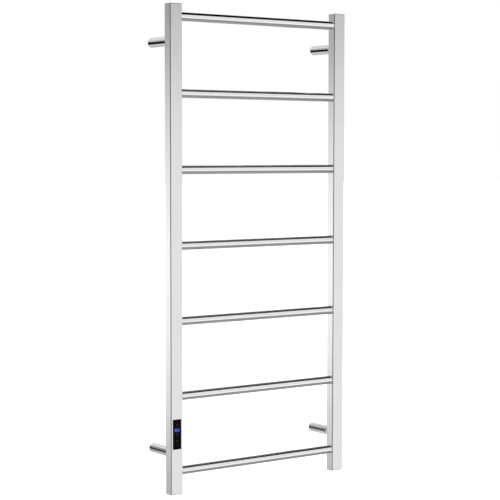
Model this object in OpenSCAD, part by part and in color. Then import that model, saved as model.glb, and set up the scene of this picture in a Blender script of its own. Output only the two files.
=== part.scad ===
// Wall-hung ladder towel warmer: two upright tubes, seven round bars, four standoffs
// and a touch panel let into the front of the left upright.
// Origin: middle of the four wall fixings, on the wall plane. +Y into the wall, +Z up.

/* [Rack] */
// Height of the rack over its end caps
height = 1100; // [900:10:1320]
// Width of the rack over both posts
width = 500; // [400:10:600]
// Distance from the wall to the front of the posts
projection = 100; // [80:1:120]

/* [Posts] */
// Width of a post across its front
post_w = 32; // [30:1:40]
// Depth of a post from front to back
post_d = 23; // [20:1:28]
// Wall of the post tube
post_wall = 1.5; // [1:0.1:2]
// Outside corner radius of the post tube
post_corner = 2; // [1.6:0.1:2.5]
// Thickness of an end cap's plate
cap_t = 1.5; // [1:0.5:3]
// Depth of the plug under an end cap's plate
cap_plug = 8; // [5:1:12]
// Wall of the plug
cap_plug_wall = 1.5; // [1:0.5:3]
// Gap between the plug and the tube
cap_gap = 0.1; // [0.05:0.05:0.2]

/* [Bars] */
// Outside diameter of a bar
bar_d = 20; // [16:1:22]
// Wall of a bar
bar_wall = 1.2; // [1:0.1:1.5]
// Top of the rack to the middle of the top bar
top_margin = 28; // [20:1:40]
// Bottom of the rack to the middle of the bottom bar
bottom_margin = 52; // [40:1:60]

/* [Standoffs] */
// Outside diameter of a standoff sleeve
sleeve_d = 22; // [20:1:24]
// Wall of a standoff sleeve
sleeve_wall = 2; // [1.5:0.1:2.5]
// Thickness of the sleeve's end against the post
sleeve_end = 4; // [3:0.5:6]
// Gap between the sleeve and the wall
sleeve_gap = 0.5; // [0.2:0.1:1]
// Top of the rack to the upper fixings
fix_top = 82; // [60:1:110]
// Bottom of the rack to the lower fixings
fix_bottom = 93; // [85:1:94]
// Length of a wall spigot
spigot_len = 22; // [16:1:30]
// Gap between a spigot and its sleeve, on the radius
spigot_gap = 0.1; // [0.05:0.05:0.3]
// Hole for the wall screw
screw_hole_d = 5; // [4:0.5:6]
// Diameter of the countersink for the wall screw
countersink_d = 10; // [8:0.5:12]

/* [Fasteners] */
// Diameter of the bolt that holds a sleeve
bolt_d = 6; // [5:1:6]
// Head diameter of that bolt
bolt_head_d = 10; // [9:0.5:11]
// Head height of that bolt
bolt_head_h = 6; // [4:0.5:7]
// Socket in the bolt's head, across its flats
bolt_socket = 5; // [4:0.5:6]
// Clearance between a bolt and its hole, on the radius
bolt_gap = 0.2; // [0.1:0.1:0.3]
// Body diameter of a rivet nut
rivet_d = 9; // [8:0.5:10]
// Length of a rivet nut inside the post
rivet_len = 9; // [7:0.5:10]
// Flange diameter of a rivet nut
rivet_flange_d = 12; // [11:0.5:13]
// Flange thickness of a rivet nut
rivet_flange_t = 1; // [0.5:0.1:1.2]
// Diameter of a grub screw
grub_d = 4; // [3:0.5:4]
// Length of a grub screw
grub_len = 3.5; // [3:0.1:4]
// Distance from the wall to a grub screw
grub_y = 12; // [8:1:16]

/* [Touch panel] */
// Width of the glass
panel_w = 22.5; // [18:0.5:24]
// Height of the glass
panel_h = 68; // [60:1:80]
// Thickness of the glass
panel_t = 1.5; // [1:0.1:2]
// How far the glass stands proud of the post
panel_proud = 0.4; // [0.1:0.1:0.8]
// Corner radius of the glass
panel_corner = 1.2; // [0.5:0.1:2]
// Gap around the glass
panel_gap = 0.15; // [0.1:0.05:0.3]
// Bottom of the rack to the bottom of the glass
panel_bottom = 103.5; // [100:0.5:120]

/* [Control box] */
// Depth of the control box behind the glass
box_d = 13.8; // [12:0.1:14]
// Wall of the control box
box_wall = 1.2; // [1:0.1:1.5]
// How much smaller than the glass the box is, each side
box_inset = 0.3; // [0.2:0.1:0.5]
// Thickness of the lid
lid_t = 1.2; // [1:0.1:1.5]
// Gap around the lid and the board
fit_gap = 0.1; // [0.05:0.05:0.2]
// Thickness of the circuit board
board_t = 1.2; // [0.8:0.1:1.6]
// Space between the board and the glass
board_space = 3.6; // [3:0.1:4]
// Width of the rail that the board rests on
rail_w = 1.2; // [1:0.1:1.5]

/* [Wiring] */
// Diameter of the heating cable
cable_d = 5; // [4:0.5:6]
// How far the cable runs in front of the bars' axes
cable_offset = 2.5; // [2:0.1:3]
// Diameter of a wiring hole in a post
wire_hole_d = 10; // [9:0.5:11]
// Bore of a bush
bush_bore_d = 6; // [5.5:0.5:7]
// Flange diameter of a bush
bush_flange_d = 13; // [12:0.5:14]
// Flange thickness of a bush
bush_flange_t = 1; // [0.8:0.1:1.5]
// Hole in the mains grommet
grommet_bore_d = 7; // [6:0.5:8]
// Wall hole for the mains grommet
grommet_hole_d = 10; // [9:0.5:11]
// Flange diameter of the mains grommet
grommet_flange_d = 14; // [13:0.5:15]
// Flange thickness of the mains grommet
grommet_flange_t = 1.5; // [1:0.5:2]
// Bottom of the rack to the mains grommet
grommet_z = 62; // [60:1:66]
// Diameter of the earth stud
earth_d = 4; // [3:0.5:5]
// Length of the earth stud
earth_len = 8; // [7:0.5:9]
// Bottom of the rack to the earth stud
earth_z = 26; // [22:1:30]
// Thickness of the earth tag
earth_tag_t = 1; // [0.5:0.1:1.2]
// Length of the earth tag from its hole
earth_tag_len = 14; // [10:1:16]
// Thickness of the earth nut
earth_nut_t = 3; // [2:0.5:3]

/* [Hidden] */
$fn = 48;
eps = 0.01;
// How far a cutting solid runs past what it cuts
over = 1;
bar_count = 7;
sides = ["left", "right"];
levels = ["top", "bottom"];
bar_names = [for (i = [1:bar_count]) str("bar_", i)];

// Colours
polished = "gainsboro";
satin = "silver";
black_glass = "#101014";
black_plastic = "#1c1c1e";
zinc = "#9a9a92";

// Uprights
x_post = (width - post_w) / 2;
y_front = -projection;
y_back = y_front + post_d;
y_mid = y_front + post_d / 2;
z_low = -(height - fix_top + fix_bottom) / 2;
z_high = z_low + height;
inner_w = post_w - 2 * post_wall;
inner_d = post_d - 2 * post_wall;
inner_corner = post_corner - post_wall;

// Bars
bar_pitch = (height - top_margin - bottom_margin) / (bar_count - 1);
bar_len = width - 2 * post_w;

// Fixings
bolt_short = 1;
groove_play = 1;
z_fix_top = z_high - fix_top;
z_fix_bottom = z_low + fix_bottom;
sleeve_len = -sleeve_gap - y_back;
sleeve_bore_d = sleeve_d - 2 * sleeve_wall;
spigot_d = sleeve_bore_d - 2 * spigot_gap;
grub_end_r = sleeve_d / 2 - grub_len;
groove_w = grub_d + groove_play;
bolt_len = sleeve_end + rivet_len - bolt_short;
socket_depth = bolt_head_h / 2;

// Panel and control box
z_panel = z_low + panel_bottom + panel_h / 2;
y_glass = y_front - panel_proud;
y_box = y_glass + panel_t;
box_w = panel_w - 2 * box_inset;
box_h = panel_h - 2 * box_inset;
y_board = y_box + board_space;
y_parts = y_board + board_t;
y_lid = y_box + box_d - lid_t;
room = y_lid - y_parts;
part_gap = 0.5;
part_w = box_w - 2 * box_wall - 2 * rail_w - 2 * part_gap;
part_d = room - 0.8;
relay_h = 15;
relay_z = box_h * 0.27;
power_h = 18;
power_z = -1;
cutout_d = 4;
cutout_z = -box_h * 0.21;
led_z = panel_h * 0.42;
pad_z = [0.32, 0, -0.2, -0.34] * panel_h;
display_z = panel_h * 0.145;
display_w = 11;
display_h = 12;
led_d = 3;
pad_d = 5;
clip_w = 8;
clip_t = 0.8;
clip_leg = 1.8;
probe_d = 4;
probe_len = 14;
probe_in = 2;

// Wiring: in the bars the cable follows their axes, in the control box it follows the box
y_cable = y_mid - cable_offset;
seal_back = 1;
y_seal = y_box + box_d / 2 + seal_back;
bend_clear = 0.5;
bend_r = post_w / 2 - post_wall - bush_flange_t - bend_clear;
bend_steps = 4;
cable_sides = 8;
terminal_h = 10;
terminal_up = 3;
z_terminal = z_panel - box_h / 2 + box_wall + terminal_up;
seal_d = 8;
seal_lead = 2;
seal_flange_d = 10;
seal_flange_t = 1.2;
seal_gap = 0.2;
seal_bore_d = cable_d + 2 * seal_gap;
end_drop = 24;
end_seal_d = 7;
end_seal_len = 16;

// ---- Places ----

function side_x(side) = side == "left" ? -x_post : x_post;
function level_z(level) = level == "top" ? z_fix_top : z_fix_bottom;
function bar_z(i) = z_high - top_margin - (i - 1) * bar_pitch;

// ---- Shapes used more than once ----

// Rectangle with rounded corners, about the origin.
module rounded_rect(w, h, r) {
    square([w - 2 * r, h], center = true);
    square([w, h - 2 * r], center = true);
    for (sx = [-1, 1], sy = [-1, 1])
        translate([sx * (w / 2 - r), sy * (h / 2 - r)]) circle(r);
}

// Cylinder along +Y from y = from to y = to.
module y_rod(d, from, to) {
    translate([0, from, 0]) rotate([-90, 0, 0]) cylinder(d = d, h = to - from);
}

// Cylinder along +X from x = from to x = to.
module x_rod(d, from, to) {
    translate([from, 0, 0]) rotate([0, 90, 0]) cylinder(d = d, h = to - from);
}

// Plate facing the front, w wide and h high, from y = from to y = to.
module front_plate(w, h, r, from, to) {
    translate([0, to, 0]) rotate([90, 0, 0]) linear_extrude(to - from) rounded_rect(w, h, r);
}

// Block centred in X and Z, from y = from to y = to.
module front_block(w, h, from, to) {
    translate([-w / 2, from, -h / 2]) cube([w, to - from, h]);
}

// Places its children at the four wall fixings, with y = 0 on the wall.
module at_fixings() {
    for (side = sides, level = levels)
        translate([side_x(side), 0, level_z(level)]) children();
}

// Places its children at the panel's centre, in X and Z only.
module at_panel() {
    translate([-x_post, 0, z_panel]) children();
}

// ---- Uprights ----

module post_blank() {
    translate([0, y_mid, z_low + cap_t])
        linear_extrude(height - 2 * cap_t)
            difference() {
                rounded_rect(post_w, post_d, post_corner);
                rounded_rect(inner_w, inner_d, inner_corner);
            }
}

// A post with its wiring holes on the side that faces the bars, and its rivet-nut holes.
module post_drilled(side) {
    inward = side == "left" ? 0 : -post_w / 2 - eps;
    difference() {
        translate([side_x(side), 0, 0]) post_blank();
        for (i = [1:bar_count])
            translate([side_x(side) + inward, y_cable, bar_z(i)])
                x_rod(wire_hole_d, 0, post_w / 2 + eps);
        for (level = levels)
            translate([side_x(side), 0, level_z(level)])
                y_rod(rivet_d, y_back - post_wall - eps, y_back + eps);
    }
}

module left_post() {
    color(satin)
        difference() {
            post_drilled("left");
            at_panel()
                front_plate(panel_w + 2 * panel_gap, panel_h + 2 * panel_gap, panel_corner,
                            y_front - over, y_front + post_wall + over);
            translate([-x_post, 0, z_low + grommet_z])
                y_rod(grommet_hole_d, y_back - post_wall - eps, y_back + eps);
        }
}

module right_post() {
    color(satin) post_drilled("right");
}

// Plate over a post's end with a hollow plug inside the tube; up is 1 at the top.
module end_cap(side, up) {
    z_end = up > 0 ? z_high : z_low;
    plug_w = inner_w - 2 * cap_gap - 2 * inner_corner;
    plug_d = inner_d - 2 * cap_gap - 2 * inner_corner;
    plug_z = z_end - up * cap_t;
    color(satin)
        translate([side_x(side), y_mid, 0]) {
            translate([0, 0, min(z_end, plug_z)])
                linear_extrude(cap_t) rounded_rect(post_w, post_d, post_corner);
            translate([0, 0, min(plug_z, plug_z - up * cap_plug)])
                linear_extrude(cap_plug)
                    difference() {
                        square([plug_w, plug_d], center = true);
                        square([plug_w - 2 * cap_plug_wall, plug_d - 2 * cap_plug_wall],
                               center = true);
                    }
        }
}

// ---- Bars ----

module bar(i) {
    color(polished)
        translate([0, y_mid, bar_z(i)])
            difference() {
                x_rod(bar_d, -bar_len / 2, bar_len / 2);
                x_rod(bar_d - 2 * bar_wall, -bar_len / 2 - eps, bar_len / 2 + eps);
            }
}

// ---- Standoffs ----

module standoff(level, side) {
    color(polished)
        translate([side_x(side), 0, level_z(level)])
            difference() {
                y_rod(sleeve_d, y_back, y_back + sleeve_len);
                y_rod(sleeve_bore_d, y_back + sleeve_end, over);
                y_rod(bolt_d + 2 * bolt_gap, y_back - over, y_back + sleeve_end + over);
                y_rod(rivet_flange_d + 2 * bolt_gap, y_back - over, y_back + rivet_flange_t);
                translate([0, -grub_y, -sleeve_d / 2 - over])
                    cylinder(d = grub_d, h = sleeve_wall + 2 * over);
            }
}

// Plug that is screwed to the wall and carries a sleeve; the groove takes the grub screw.
module wall_spigot(level, side) {
    sink = (countersink_d - screw_hole_d) / 2;
    color(zinc)
        translate([side_x(side), 0, level_z(level)])
            rotate([90, 0, 0])
                rotate_extrude()
                    polygon([
                        [screw_hole_d / 2, 0],
                        [spigot_d / 2, 0],
                        [spigot_d / 2, grub_y - groove_w / 2],
                        [grub_end_r, grub_y - groove_w / 2],
                        [grub_end_r, grub_y + groove_w / 2],
                        [spigot_d / 2, grub_y + groove_w / 2],
                        [spigot_d / 2, spigot_len],
                        [countersink_d / 2, spigot_len],
                        [screw_hole_d / 2, spigot_len - sink]
                    ]);
}

module rivet_nuts() {
    color(zinc)
        at_fixings()
            difference() {
                union() {
                    y_rod(rivet_d, y_back - post_wall - rivet_len, y_back + eps);
                    y_rod(rivet_flange_d, y_back, y_back + rivet_flange_t);
                }
                y_rod(bolt_d, y_back - post_wall - rivet_len - over, y_back + rivet_flange_t + over);
            }
}

module sleeve_bolts() {
    color(zinc)
        at_fixings()
            difference() {
                union() {
                    y_rod(bolt_d, y_back + sleeve_end - bolt_len, y_back + sleeve_end + eps);
                    y_rod(bolt_head_d, y_back + sleeve_end, y_back + sleeve_end + bolt_head_h);
                }
                translate([0, y_back + sleeve_end + bolt_head_h, 0])
                    rotate([90, 0, 0]) cylinder(d = bolt_socket, h = socket_depth, $fn = 6);
            }
}

module grub_screws() {
    color(zinc)
        at_fixings()
            translate([0, -grub_y, -sleeve_d / 2])
                difference() {
                    cylinder(d = grub_d, h = grub_len);
                    translate([0, 0, -eps]) cylinder(d = grub_d / 2, h = grub_len / 2, $fn = 6);
                }
}

// ---- Touch panel and control box ----

module glass_panel() {
    color(black_glass)
        at_panel() front_plate(panel_w, panel_h, panel_corner, y_glass, y_box);
}

module control_box() {
    color(black_plastic)
        at_panel()
            difference() {
                front_block(box_w, box_h, y_box, y_box + box_d);
                front_block(box_w - 2 * box_wall, box_h - 2 * box_wall, y_box - over, y_parts);
                front_block(box_w - 2 * box_wall - 2 * rail_w, box_h - 2 * box_wall,
                            y_board, y_lid + eps);
                front_block(box_w - 2 * box_wall, box_h - 2 * box_wall, y_lid, y_lid + lid_t + over);
                translate([0, y_seal, -box_h / 2 - over])
                    cylinder(d = seal_d, h = box_wall + 2 * over);
                translate([0, y_seal, box_h / 2 - box_wall - over])
                    cylinder(d = probe_d, h = box_wall + 2 * over);
            }
}

module box_lid() {
    color(black_plastic)
        at_panel()
            front_block(box_w - 2 * box_wall - 2 * fit_gap, box_h - 2 * box_wall - 2 * fit_gap,
                        y_lid, y_lid + lid_t);
}

// Two bent strips that hook the box behind the front wall of the post.
module box_clips() {
    y_hook = y_front + post_wall;
    color(satin)
        at_panel()
            for (up = [0, 1])
                mirror([0, 0, up]) translate([-clip_w / 2, y_hook, -box_h / 2]) {
                    translate([0, 0, -clip_t]) cube([clip_w, clip_leg, clip_t]);
                    translate([0, 0, -clip_leg]) cube([clip_w, clip_t, clip_leg - clip_t / 2]);
                }
}

module control_board() {
    color("darkgreen")
        at_panel()
            front_block(box_w - 2 * box_wall - 2 * fit_gap, box_h - 2 * box_wall - 2 * fit_gap,
                        y_board, y_parts);
}

module display_module() {
    color("#1a1f38")
        at_panel() translate([0, 0, display_z]) front_block(display_w, display_h, y_box, y_board);
}

module indicator_led() {
    color("firebrick")
        at_panel() translate([0, 0, led_z]) y_rod(led_d, y_box, y_board);
}

module touch_pads() {
    color("dimgray")
        at_panel() for (z = pad_z) translate([0, 0, z]) y_rod(pad_d, y_box, y_board);
}

// Parts on the back of the board, from the top of the box down.
module relay() {
    color("navy")
        at_panel() translate([0, 0, relay_z])
            front_block(part_w, relay_h, y_parts, y_parts + part_d);
}

module power_module() {
    color("#26262a")
        at_panel() translate([0, 0, power_z])
            front_block(part_w, power_h, y_parts, y_parts + part_d);
}

module thermal_cutout() {
    color("tan")
        at_panel() translate([0, y_parts + cutout_d / 2, cutout_z])
            x_rod(cutout_d, -part_w / 2, part_w / 2);
}

module terminal_block() {
    color("ivory")
        translate([-x_post, 0, z_terminal + terminal_h / 2])
            front_block(part_w, terminal_h, y_parts, y_parts + part_d);
}

module temperature_probe() {
    color(polished)
        at_panel() translate([0, y_seal, box_h / 2 - box_wall - probe_in])
            cylinder(d = probe_d, h = probe_len);
}

// ---- Wiring ----

// Quarter circle in the XZ plane about c, from angle a0 to a1.
function arc(c, r, a0, a1) =
    [for (k = [0:bend_steps]) let (a = a0 + (a1 - a0) * k / bend_steps) c + r * [cos(a), sin(a)]];

// Turns of the cable in the post that joins bar i to bar i - 1; s is 1 on the right.
function link(i, s) = concat(
    arc([s * x_post - s * bend_r, bar_z(i) + bend_r], bend_r, -90, s > 0 ? 0 : -180),
    arc([s * x_post - s * bend_r, bar_z(i - 1) - bend_r], bend_r, s > 0 ? 0 : 180, 90));

function links(i) = i < 2 ? [] : concat(link(i, (bar_count - i) % 2 == 0 ? 1 : -1), links(i - 1));

// From the terminal block through the seal and down into the lowest bar, to and fro through
// every bar, and down into the right post to the end seal.
entry = [[-x_post, z_terminal],
         [-x_post, z_panel - box_h / 2 - seal_flange_t - seal_lead]];
route = concat(
    entry,
    arc([-x_post + bend_r, bar_z(bar_count) + bend_r], bend_r, 180, 270),
    links(bar_count),
    arc([x_post - bend_r, bar_z(1) - bend_r], bend_r, 90, 0),
    [[x_post, bar_z(1) - end_drop]]);

function route_y(i) = i < len(entry) ? y_seal : y_cable;

function heading(i) =
    let (a = route[max(i - 1, 0)], b = route[min(i + 1, len(route) - 1)], v = b - a) v / norm(v);

// Tube of cable_sides sides along the route.
module heating_cable() {
    last = len(route) - 1;
    points = [for (i = [0:last], k = [0:cable_sides - 1])
        let (t = heading(i), a = 360 * k / cable_sides, r = cable_d / 2)
        [route[i][0] + r * cos(a) * t[1], route_y(i) + r * sin(a), route[i][1] - r * cos(a) * t[0]]];
    skin = [for (i = [0:last - 1], k = [0:cable_sides - 1])
        let (n = (k + 1) % cable_sides, lo = i * cable_sides, hi = lo + cable_sides)
        [lo + k, lo + n, hi + n, hi + k]];
    ends = [[for (k = [cable_sides - 1:-1:0]) k],
            [for (k = [0:cable_sides - 1]) last * cable_sides + k]];
    color("orangered") polyhedron(points, concat(skin, ends));
}

module cable_seal() {
    z_wall = z_panel - box_h / 2;
    color(black_plastic)
        translate([-x_post, y_seal, 0])
            difference() {
                union() {
                    translate([0, 0, z_wall - eps]) cylinder(d = seal_d, h = box_wall + eps);
                    translate([0, 0, z_wall - seal_flange_t])
                        cylinder(d = seal_flange_d, h = seal_flange_t);
                }
                translate([0, 0, z_wall - seal_flange_t - over])
                    cylinder(d = seal_bore_d, h = seal_flange_t + box_wall + 2 * over);
            }
}

module cable_end_seal() {
    color(black_plastic)
        translate([x_post, y_cable, bar_z(1) - end_drop - end_seal_len])
            cylinder(d = end_seal_d, h = end_seal_len);
}

// One bush in each wiring hole of a post, its flange inside the tube.
module bushes(side) {
    s = side == "left" ? 1 : -1;
    x_wall = side_x(side) + s * (post_w / 2 - post_wall);
    color(black_plastic)
        for (i = [1:bar_count])
            translate([x_wall, y_cable, bar_z(i)])
                mirror([side == "left" ? 0 : 1, 0, 0])
                    difference() {
                        union() {
                            x_rod(wire_hole_d, -eps, post_wall);
                            x_rod(bush_flange_d, -bush_flange_t, 0);
                        }
                        x_rod(bush_bore_d, -bush_flange_t - over, post_wall + over);
                    }
}

module mains_grommet() {
    color(black_plastic)
        translate([-x_post, 0, z_low + grommet_z])
            difference() {
                union() {
                    y_rod(grommet_hole_d, y_back - post_wall - grommet_flange_t, y_back + eps);
                    y_rod(grommet_flange_d, y_back, y_back + grommet_flange_t);
                    y_rod(grommet_flange_d, y_back - post_wall - grommet_flange_t, y_back - post_wall);
                }
                y_rod(grommet_bore_d, y_back - post_wall - grommet_flange_t - over,
                      y_back + grommet_flange_t + over);
            }
}

// Welded to the inside of the post's back wall, with the tag and nut on it.
module earth_stud() {
    color(zinc)
        translate([-x_post, 0, z_low + earth_z])
            y_rod(earth_d, y_back - post_wall - earth_len, y_back - post_wall);
}

module earth_tag() {
    y_tag = y_back - post_wall;
    color(zinc)
        translate([-x_post, 0, z_low + earth_z])
            difference() {
                union() {
                    y_rod(earth_d * 2, y_tag - earth_tag_t, y_tag);
                    translate([-earth_d / 2, y_tag - earth_tag_t, 0])
                        cube([earth_d, earth_tag_t, earth_tag_len]);
                }
                y_rod(earth_d + 2 * fit_gap, y_tag - earth_tag_t - over, y_tag + over);
            }
}

module earth_nut() {
    y_nut = y_back - post_wall - earth_tag_t;
    color(zinc)
        translate([-x_post, 0, z_low + earth_z])
            difference() {
                translate([0, y_nut, 0])
                    rotate([90, 0, 0]) cylinder(d = earth_d * 2, h = earth_nut_t, $fn = 6);
                y_rod(earth_d, y_nut - earth_nut_t - over, y_nut + over);
            }
}

// ---- One node at a time ----

left_post();
right_post();
for (side = sides, level = levels)
    end_cap(side, level == "top" ? 1 : -1);
for (i = [1:bar_count])
    bar(i);
for (level = levels, side = sides)
    standoff(level, side);
for (level = levels, side = sides)
    wall_spigot(level, side);
rivet_nuts();
sleeve_bolts();
grub_screws();
glass_panel();
control_box();
box_lid();
box_clips();
control_board();
display_module();
indicator_led();
touch_pads();
relay();
power_module();
terminal_block();
thermal_cutout();
temperature_probe();
cable_seal();
heating_cable();
cable_end_seal();
bushes("left");  // left_bushes
bushes("right");  // right_bushes
mains_grommet();
earth_stud();
earth_tag();
earth_nut();
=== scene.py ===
"""Looks of a wall-hung ladder towel warmer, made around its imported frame.

The rack hangs on four round standoffs. Two satin uprights carry seven mirror-polished bars, and a
black touch panel is let into the front of the left upright. All sizes are metres; +Y is the wall.
"""

import logging
import math
from dataclasses import dataclass, field
from enum import Enum
from typing import Any, Callable, Iterable, Sequence

import bmesh
import bpy
from mathutils import Matrix, Vector


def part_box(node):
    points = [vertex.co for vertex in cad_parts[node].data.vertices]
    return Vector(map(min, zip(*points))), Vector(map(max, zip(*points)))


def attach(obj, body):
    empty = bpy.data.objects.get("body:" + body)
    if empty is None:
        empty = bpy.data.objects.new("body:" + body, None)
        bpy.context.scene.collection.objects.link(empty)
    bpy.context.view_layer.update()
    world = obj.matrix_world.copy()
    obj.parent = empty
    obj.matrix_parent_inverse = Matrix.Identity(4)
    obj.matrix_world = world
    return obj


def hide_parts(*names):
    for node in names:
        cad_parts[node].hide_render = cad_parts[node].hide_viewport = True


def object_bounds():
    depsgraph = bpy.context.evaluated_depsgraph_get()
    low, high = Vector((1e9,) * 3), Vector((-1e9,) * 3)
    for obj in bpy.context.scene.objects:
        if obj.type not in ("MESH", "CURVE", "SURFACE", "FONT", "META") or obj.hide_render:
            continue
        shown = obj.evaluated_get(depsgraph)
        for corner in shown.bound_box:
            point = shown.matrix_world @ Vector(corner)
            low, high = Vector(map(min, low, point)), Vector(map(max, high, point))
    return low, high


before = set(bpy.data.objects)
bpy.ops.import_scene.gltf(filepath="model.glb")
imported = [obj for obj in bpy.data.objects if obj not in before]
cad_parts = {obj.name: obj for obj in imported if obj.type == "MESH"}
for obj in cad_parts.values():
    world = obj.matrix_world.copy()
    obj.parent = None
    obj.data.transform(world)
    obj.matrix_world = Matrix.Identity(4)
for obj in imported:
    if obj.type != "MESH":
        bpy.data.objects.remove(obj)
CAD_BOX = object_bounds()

LOG = logging.getLogger("towel_warmer")
MM = 0.001
BODY = "root"
Colour = tuple[float, float, float]
Point = tuple[float, float]
Place = tuple[float, float, float]
Span = tuple[float, float]

# How a noise is stretched: evenly, or drawn out along one axis as polishing leaves it. Even is
# also plain white, where a colour is asked for.
EVEN = (1.0, 1.0, 1.0)
ALONG_X, ALONG_Y, ALONG_Z = (0.01, 1.0, 1.0), (1.0, 0.01, 1.0), (1.0, 1.0, 0.01)


class Side(Enum):
    """The two uprights, seen from the room; the value is the sign of X."""

    LEFT = -1
    RIGHT = 1

    @property
    def word(self) -> str:
        """The side's name as the frame's nodes spell it."""
        return self.name.lower()


class Level(Enum):
    """Upper and lower ends; the value is the sign of Z."""

    TOP = 1
    BOTTOM = -1

    @property
    def word(self) -> str:
        """The level's name as the frame's nodes spell it."""
        return self.name.lower()


# ---------------------------------------------------------------- shader graphs


class Value:
    """One socket of a shader graph, with arithmetic that adds Math nodes."""

    def __init__(self, graph: "Graph", socket: bpy.types.NodeSocket) -> None:
        """Wraps a socket.

        Args:
            graph: The graph that the socket belongs to.
            socket: An output socket.
        """
        self.graph = graph
        self.socket = socket

    def _math(self, operation: str, first: Any, second: Any) -> "Value":
        """Adds one Math node and returns its result."""
        return self.graph.add("ShaderNodeMath", {"operation": operation}, {0: first, 1: second})

    def __add__(self, other: Any) -> "Value":
        """self + other."""
        return self._math("ADD", self, other)

    __radd__ = __add__

    def __sub__(self, other: Any) -> "Value":
        """self - other."""
        return self._math("SUBTRACT", self, other)

    def __rsub__(self, other: Any) -> "Value":
        """other - self."""
        return self._math("SUBTRACT", other, self)

    def __mul__(self, other: Any) -> "Value":
        """self * other."""
        return self._math("MULTIPLY", self, other)

    __rmul__ = __mul__

    def __abs__(self) -> "Value":
        """Size without its sign."""
        return self._math("ABSOLUTE", self, 0.0)

    def step(self, start: float, end: float) -> "Value":
        """Smooth 0 to 1 as the value goes from start to end; start may be above end.

        Args:
            start: Value at which the result is 0.
            end: Value at which the result is 1.

        Returns:
            The mask.
        """
        low, high, at_low, at_high = (start, end, 0.0, 1.0) if start < end else (end, start, 1.0, 0.0)
        return self.graph.add(
            "ShaderNodeMapRange",
            {"interpolation_type": "SMOOTHSTEP"},
            {"Value": self, "From Min": low, "From Max": high, "To Min": at_low, "To Max": at_high},
        )

    def bump(self, centre: float, half: float) -> "Value":
        """Smooth hill of height 1 about centre, 0 beyond centre - half and centre + half."""
        return abs(self - centre).step(half, 0.0)


class Graph:
    """A node tree under construction."""

    def __init__(self, tree: bpy.types.NodeTree) -> None:
        """Empties the tree.

        Args:
            tree: The tree of a material or a world.
        """
        self.tree = tree
        tree.nodes.clear()

    def add(self, kind: str, settings: dict[str, Any], inputs: dict[Any, Any], out: Any = 0) -> Value:
        """Adds one node.

        Args:
            kind: The node's type.
            settings: Its properties, set first.
            inputs: Values or Value links by socket name or number.
            out: Name or number of the output to hand back.

        Returns:
            The chosen output.
        """
        node = self.tree.nodes.new(kind)
        for key, value in settings.items():
            setattr(node, key, value)
        for key, value in inputs.items():
            if isinstance(value, Value):
                self.tree.links.new(value.socket, node.inputs[key])
            else:
                node.inputs[key].default_value = value
        return Value(self, node.outputs[out] if node.outputs else None)

    def place(self) -> Value:
        """Object coordinates, in metres."""
        return self.add("ShaderNodeTexCoord", {}, {}, "Object")

    def noise(self, stretch: Sequence[float], scale: float, detail: float = 3.0) -> Value:
        """Noise over the object.

        Args:
            stretch: Scale of the coordinates along X, Y and Z.
            scale: Grains to a metre before the stretch.
            detail: Octaves.

        Returns:
            The noise, about 0 to 1.
        """
        stretched = {0: self.place(), 1: tuple(stretch)}
        where = self.add("ShaderNodeVectorMath", {"operation": "MULTIPLY"}, stretched)
        return self.add("ShaderNodeTexNoise", {}, {"Vector": where, "Scale": scale, "Detail": detail}, "Fac")

    def mix(self, factor: Any, first: Any, second: Any) -> Value:
        """Colour mix.

        Args:
            factor: 0 gives the first colour and 1 the second.
            first: Colour or link.
            second: Colour or link.

        Returns:
            The mixed colour.
        """
        rgba = [c if isinstance(c, Value) else (*c, 1.0) for c in (first, second)]
        return self.add(
            "ShaderNodeMix", {"data_type": "RGBA"}, {0: factor, 6: rgba[0], 7: rgba[1]}, 2
        )

    def relief(self, height: Value, strength: float, depth: float) -> Value:
        """Bump normal.

        Args:
            height: Height, 0 to 1.
            strength: Share of the relief that shows.
            depth: Real height of 1, in metres.

        Returns:
            The normal.
        """
        inputs = {"Height": height, "Strength": strength, "Distance": depth}
        return self.add("ShaderNodeBump", {}, inputs, "Normal")


def new_material(name: str, inputs: Callable[[Graph], dict[str, Any]]) -> bpy.types.Material:
    """Makes a Principled material.

    Args:
        name: Its name.
        inputs: Builds the graph before the shader and returns the shader's inputs.

    Returns:
        The material.
    """
    material = bpy.data.materials.new(name)
    material.use_nodes = True
    graph = Graph(material.node_tree)
    shader = graph.add("ShaderNodeBsdfPrincipled", {}, inputs(graph), "BSDF")
    graph.add("ShaderNodeOutputMaterial", {}, {"Surface": shader})
    return material


def shade(colour: Colour, factor: float) -> Colour:
    """A colour made lighter or darker."""
    return tuple(min(1.0, c * factor) for c in colour)


def cloudy(graph: Graph, mask: Value, colour: Colour, spread: float) -> Value:
    """A colour that a mask makes lighter and darker.

    Args:
        graph: The material's graph.
        mask: 0 where the colour is darkest, 1 where it is lightest.
        colour: The colour between.
        spread: Share by which it changes each way.

    Returns:
        The varied colour.
    """
    return graph.mix(mask, shade(colour, 1.0 - spread), shade(colour, 1.0 + spread))


# ---------------------------------------------------------------- finishes


@dataclass(frozen=True)
class Finish:
    """What every finish has."""

    name: str
    colour: Colour

    def build(self) -> bpy.types.Material:
        """Makes the material."""
        return new_material(self.name, self._inputs)

    def _inputs(self, graph: Graph) -> dict[str, Any]:
        """The shader's inputs, which each finish gives in its own way."""
        raise NotImplementedError(self.name)


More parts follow.
